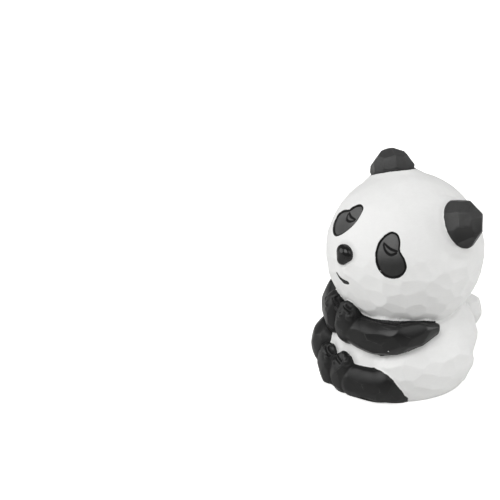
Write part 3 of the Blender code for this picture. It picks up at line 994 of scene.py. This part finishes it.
def worn_and_highlit_ridges():
    """Where the ridges between the chisel's cuts are lightened: worn paint together with a painted
    highlight.
    """
    group, board, given, result = new_group(
        "worn_and_highlit_ridges",
        (("Place", "NodeSocketVector"), ("Ridge", "NodeSocketFloat")),
        (("Wear_and_highlight", "NodeSocketFloat"),),
    )
    sharp = board.ramp(given["Ridge"], 0.09, 0.0)
    patchy = board.ramp(board.noise(given["Place"], 240.0, 3.0), 0.46, 0.66)
    group.links.new(board.math("MULTIPLY", sharp, patchy), result.inputs["Wear_and_highlight"])
    return group


def shaded_creases():
    """How much painted shade darkens the creases and the engraved lines."""
    group, board, given, result = new_group(
        "shaded_creases",
        (("Place", "NodeSocketVector"), ("Crease", "NodeSocketFloat"), ("Groove", "NodeSocketFloat")),
        (("Shade", "NodeSocketFloat"),),
    )
    uneven = board.math("MULTIPLY_ADD", board.noise(given["Place"], 420.0, 3.0), 1.1, 0.1)
    depth = board.math("MULTIPLY", given["Crease"], uneven)
    both = board.math("MAXIMUM", depth, given["Groove"])
    group.links.new(board.math("MINIMUM", both, 1.0), result.inputs["Shade"])
    return group


def painted_glints():
    """A few pale painted glints on the black."""
    group, board, given, result = new_group(
        "painted_glints", (("Place", "NodeSocketVector"),), (("Glint", "NodeSocketFloat"),)
    )
    cells = board.add("ShaderNodeTexVoronoi", Vector=given["Place"], Scale=260.0)
    dot = board.ramp(cells.outputs["Distance"], 0.060, 0.040)
    few = board.ramp(board.noise(given["Place"], 190.0, 1.0), 0.56, 0.58)
    group.links.new(board.math("MULTIPLY", dot, few), result.inputs["Glint"])
    return group


def grey(value):
    """A grey with a trace of warmth."""
    return (value, value, value * 0.99, 1.0)


# The greys of the paint and how unevenly it lies, and the greys of the worn and highlit ridges, the
# painted sheen, the painted shade in creases and the painted glints, with how much of the ridges and the
# shade shows
WHITE = 0.80
WHITE_UNEVENNESS = 0.07
BLACK = 0.009
BLACK_UNEVENNESS = 0.3
WORN_AND_HIGHLIT_GREY = 0.10
RIDGE_LIGHTENING_SHOWN = 0.45
SHEEN_BLACK = 0.11
CREASE_SHADE_BLACK = 0.002
CREASE_SHADE_GREY = 0.30
CREASE_SHADE_SHOWN = 0.22
GLINT_GREY = 0.75

# Roughness of the matt white and of the satin black, and how far varnish lowers the latter
MATT = 0.50
SATIN = 0.54
VARNISHED = 0.42


def painted_resin():
    """Black and white paint on one casting, parted along the painter's edge."""
    paint = bpy.data.materials.new("painted_resin")
    paint.use_nodes = True
    shader = paint.node_tree.nodes["Principled BSDF"]
    shader.inputs["Metallic"].default_value = 0.0
    shader.inputs["IOR"].default_value = 1.45
    shader.inputs["Specular IOR Level"].default_value = 0.36
    board = NodeBoard(paint.node_tree)

    def stored(name):
        return board.add("ShaderNodeAttribute", {"attribute_name": name}).outputs["Fac"]

    def effect(group, **inputs):
        return board.add("ShaderNodeGroup", {"node_tree": group}, **inputs).outputs

    place = board.add("ShaderNodeTexCoord").outputs["Object"]
    black = effect(hand_painted_edge(), Place=place, Distance=stored("paint_edge"))["Black"]
    grain = effect(chisel_grain(), Place=place)
    ridge_lightening = effect(worn_and_highlit_ridges(), Place=place, Ridge=stored("ridge"))["Wear_and_highlight"]
    shade = effect(
        shaded_creases(), Place=place, Crease=stored("crease"), Groove=stored("groove")
    )["Shade"]
    glint = effect(painted_glints(), Place=place)["Glint"]

    def uneven(tone, unevenness):
        return board.mix(grain["Tone"], grey((1.0 - unevenness) * tone), grey((1.0 + unevenness) * tone))

    white_paint = uneven(WHITE, WHITE_UNEVENNESS)
    # Painted shade: the white is greyed in the creases, where shade falls
    white_paint = board.mix(board.math("MULTIPLY", shade, CREASE_SHADE_SHOWN), white_paint, grey(CREASE_SHADE_GREY))
    black_paint = uneven(BLACK, BLACK_UNEVENNESS)
    # Painted sheen: the black is lightened on the ear tops and the upper left of the eye patches
    cloudy = board.ramp(grain["Tone"], 0.2, 0.8, 0.7, 1.2)
    thin = board.math("MULTIPLY", stored("painted_sheen"), cloudy)
    black_paint = board.mix(thin, black_paint, grey(SHEEN_BLACK))
    # Lighter ridges on the black: worn paint and a painted highlight where the facets catch the light
    ridge_lightened = board.math("MULTIPLY", ridge_lightening, RIDGE_LIGHTENING_SHOWN)
    black_paint = board.mix(ridge_lightened, black_paint, grey(WORN_AND_HIGHLIT_GREY))
    # Painted shade: the black goes darker in the creases and the engraved lines
    black_paint = board.mix(shade, black_paint, grey(CREASE_SHADE_BLACK))
    # Painted glints: a few pale dots on the black
    black_paint = board.mix(glint, black_paint, grey(GLINT_GREY))
    paint_tree = paint.node_tree
    paint_tree.links.new(board.mix(black, white_paint, black_paint), shader.inputs["Base Color"])

    matt = board.math("MULTIPLY_ADD", grain["Tone"], 0.16, MATT)
    satin = board.math("MULTIPLY_ADD", stored("gloss"), -VARNISHED, SATIN)
    satin = board.math("MULTIPLY_ADD", grain["Tone"], 0.12, satin)
    satin = board.math("MULTIPLY_ADD", shade, 0.35, satin)
    parting = board.add("ShaderNodeMix", {"data_type": "FLOAT"}, in_0=black, in_2=matt, in_3=satin)
    paint_tree.links.new(parting.outputs[0], shader.inputs["Roughness"])
    relief = board.add("ShaderNodeBump", Strength=0.55, Distance=0.03 * MM, Height=grain["Height"])
    paint_tree.links.new(relief.outputs["Normal"], shader.inputs["Normal"])
    return paint


# The camera, read from the photograph: its direction, its distance and the panda's place in it
VIEW_AZIMUTH = 63.7
VIEW_ELEVATION = 25.5
VIEW_DISTANCE = 0.70
PHOTO_SIZE = 500
PIXEL = 0.27 * MM
PANDA_AT = (394.0, 366.5)


def set_camera():
    """Looks at the panda as the photograph does."""
    a, e = radians(VIEW_AZIMUTH), radians(VIEW_ELEVATION)
    right = Vector((cos(a), sin(a), 0.0))
    towards = Vector((sin(a) * cos(e), -cos(a) * cos(e), sin(e)))
    up = towards.cross(right)
    middle = PHOTO_SIZE / 2
    target = (middle - PANDA_AT[0]) * PIXEL * right + (PANDA_AT[1] - middle) * PIXEL * up
    data = bpy.data.cameras.new("camera")
    data.sensor_width = 36.0
    data.lens = data.sensor_width * VIEW_DISTANCE / (PHOTO_SIZE * PIXEL)
    data.clip_end = 10.0
    camera = bpy.data.objects.new("camera", data)
    camera.location = target + towards * VIEW_DISTANCE
    camera.rotation_euler = (-towards).to_track_quat("-Z", "Y").to_euler()
    bpy.context.scene.collection.objects.link(camera)
    bpy.context.scene.camera = camera


# Half the floor's width in metres, its grey, and how much it glows towards the camera
FLOOR_HALF_WIDTH = 1.5
FLOOR_GREY = 0.80
FLOOR_GLOW = 0.60


def lay_floor():
    """A plain pale floor that glows a little towards the camera, so that it stays white."""
    half = FLOOR_HALF_WIDTH
    corners = [(-half, -half, 0), (half, -half, 0), (half, half, 0), (-half, half, 0)]
    mesh = bpy.data.meshes.new("floor")
    mesh.from_pydata(corners, [], [(0, 1, 2, 3)])
    floor = bpy.data.objects.new("floor", mesh)
    bpy.context.scene.collection.objects.link(floor)
    pale = bpy.data.materials.new("floor")
    pale.use_nodes = True
    shader = pale.node_tree.nodes["Principled BSDF"]
    shader.inputs["Base Color"].default_value = grey(FLOOR_GREY)
    shader.inputs["Roughness"].default_value = 0.9
    board = NodeBoard(pale.node_tree)
    seen = board.add("ShaderNodeLightPath").outputs["Is Camera Ray"]
    glow = board.mix(seen, grey(0.0), grey(FLOOR_GLOW))
    pale.node_tree.links.new(glow, shader.inputs["Emission Color"])
    shader.inputs["Emission Strength"].default_value = 1.0
    mesh.materials.append(pale)


# The studio's soft boxes: degrees round from the front, degrees up, and watts
SOFT_BOXES = {
    "left_low": (-27.0, 20.0, 10.6),
    "left_high": (18.0, 50.0, 17.1),
    "right_near": (108.0, 50.0, 7.6),
    "right_far": (153.0, 20.0, 12.6),
    "behind": (243.0, 50.0, 2.3),
}
# How far away and how wide they are, in metres, and how bright the room is
BOX_DISTANCE = 1.8
BOX_SIZE = 1.2
ROOM_LIGHT = 0.18


def set_light():
    """Soft boxes round the table, aimed at the panda's middle, and a dim white room."""
    aim = Vector((0.0, 0.0, 0.03))
    for name, (azimuth, elevation, watts) in SOFT_BOXES.items():
        data = bpy.data.lights.new(name, "AREA")
        data.shape = "DISK"
        data.size = BOX_SIZE
        data.energy = watts
        out = cos(radians(elevation)) * BOX_DISTANCE
        light = bpy.data.objects.new(name, data)
        light.location = aim + Vector(around(azimuth, out, sin(radians(elevation)) * BOX_DISTANCE))
        light.rotation_euler = (aim - light.location).to_track_quat("-Z", "Y").to_euler()
        bpy.context.scene.collection.objects.link(light)
    world = bpy.data.worlds.new("studio")
    world.use_nodes = True
    room = world.node_tree.nodes["Background"]
    room.inputs["Color"].default_value = (1.0, 1.0, 1.0, 1.0)
    room.inputs["Strength"].default_value = ROOM_LIGHT
    bpy.context.scene.world = world
    bpy.context.scene.view_settings.view_transform = "Standard"


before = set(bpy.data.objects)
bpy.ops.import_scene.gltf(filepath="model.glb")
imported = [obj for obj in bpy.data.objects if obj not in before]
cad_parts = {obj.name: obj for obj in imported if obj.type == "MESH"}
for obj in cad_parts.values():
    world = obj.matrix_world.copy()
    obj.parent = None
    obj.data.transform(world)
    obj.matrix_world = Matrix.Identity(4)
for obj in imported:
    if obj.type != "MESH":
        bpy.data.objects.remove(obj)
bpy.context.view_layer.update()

panda = carve_panda(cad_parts["panda"])
panda.data.materials.clear()
panda.data.materials.append(painted_resin())
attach(panda, "root")
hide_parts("panda")

lay_floor()
set_camera()
set_light()
